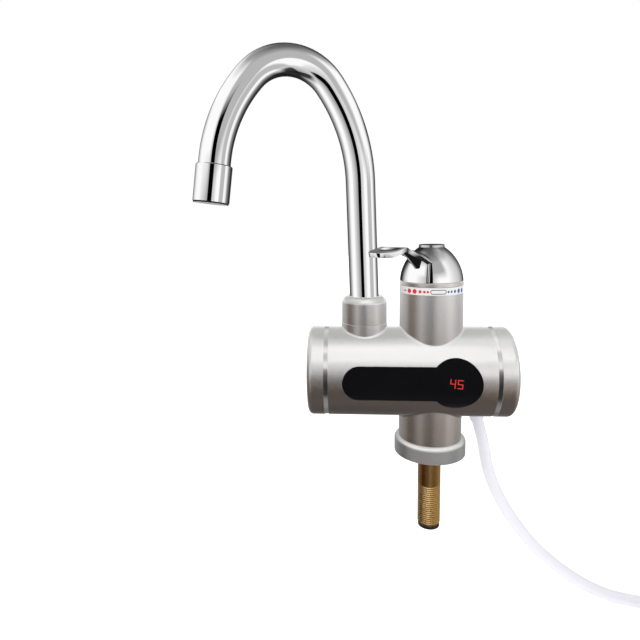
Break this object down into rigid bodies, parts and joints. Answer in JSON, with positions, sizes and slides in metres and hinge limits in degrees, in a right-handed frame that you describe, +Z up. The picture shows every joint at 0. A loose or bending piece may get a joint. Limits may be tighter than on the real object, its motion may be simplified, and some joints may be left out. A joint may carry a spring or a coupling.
{
  "type": "electric instant water heater tap",
  "caption": "Deck-mounted electric instant water heater tap: horizontal barrel heater with display, swivel gooseneck spout, lever handle, threaded inlet and power cord.",
  "frame": {"origin": "on the inlet shank's axis where the foot rests on the deck", "axes": "+Z up along the shank, +X to the right of the display, -Y towards the user"},
  "size_m": [0.4917, 0.1194, 0.4061],
  "materials": {
    "satin_silver": "satin metallic paint",
    "satin_metal": "satin",
    "chrome": "polished",
    "black_gloss": "gloss",
    "lit_red": "lit",
    "white_plastic": "gloss",
    "white_matte": "matte",
    "cord_white": "smooth PVC",
    "brass": "turned",
    "steel": "bright",
    "rubber": "matte",
    "grey_plastic": "matte",
    "green_board": "solder mask",
    "ceramic": "ground",
    "blue_case": "gloss",
    "red_wire": "PVC"
  },
  "bodies": {
    "body": {"housing": "satin_silver", "left_end_cap": "satin_silver", "right_end_cap": "satin_silver", "left_trim_ring": "chrome", "right_trim_ring": "chrome", "cap_seals": "rubber", "base_ring": "satin_metal", "base_gasket": "rubber", "inlet_shank": "brass", "inlet_seal": "rubber", "display_window": "black_gloss", "temperature_digits": "lit_red", "display_module": "grey_plastic", "control_board": "green_board", "board_posts": "white_matte", "power_relay": "blue_case", "terminal_block": "white_plastic", "terminal_screws": "steel", "mains_wires": "red_wire", "heater_wires": "red_wire", "valve_body": "brass", "index_ring": "white_plastic", "bezel_ring": "satin_metal", "cartridge_body": "white_matte", "cartridge_nut": "brass", "fixed_disc": "ceramic", "spout_collar": "satin_metal", "spout_socket": "brass", "slip_ring": "white_matte", "heater_chamber": "white_matte", "chamber_cover": "white_matte", "chamber_seal": "rubber", "cover_screws": "steel", "heating_element": "steel", "thermal_cutout": "steel", "flow_switch": "white_matte", "flow_spring": "steel", "micro_switch": "blue_case", "bypass_pipe": "steel", "cable_gland": "cord_white", "cable_clamp": "white_matte", "cable_sheath": "cord_white", "power_cord": "cord_white", "cord_coil": "cord_white", "cord_tail": "cord_white", "cable_tie": "white_matte", "power_plug": "cord_white", "plug_pins": "steel"},
    "handle": {"handle": "chrome", "handle_cap": "satin_metal", "handle_screw": "steel", "cartridge_stem": "white_matte", "moving_disc": "ceramic"},
    "spout": {"spout_tube": "chrome", "spout_foot": "brass", "spout_seals": "rubber", "outlet_sleeve": "chrome", "aerator_insert": "grey_plastic", "aerator_washer": "rubber"},
    "piston": {"flow_piston": "grey_plastic"}
  },
  "joints": [
    {"name": "handle_turn", "type": "hinge", "parent": "body", "child": "handle", "pos_m": [0, 0, 0.13], "axis": [0, 0, 1], "range_deg": [-25, 100]},
    {"name": "spout_swivel", "type": "hinge", "parent": "body", "child": "spout", "pos_m": [-0.0462, 0, 0.09], "axis": [0, 0, 1], "continuous": true},
    {"name": "piston_lift", "type": "slide", "parent": "body", "child": "piston", "axis": [0, 0, 1], "range_m": [0, 0.004], "stiffness_N_per_m": 60, "springref_m": -0.002, "deforming": ["flow_spring"]}
  ]
}
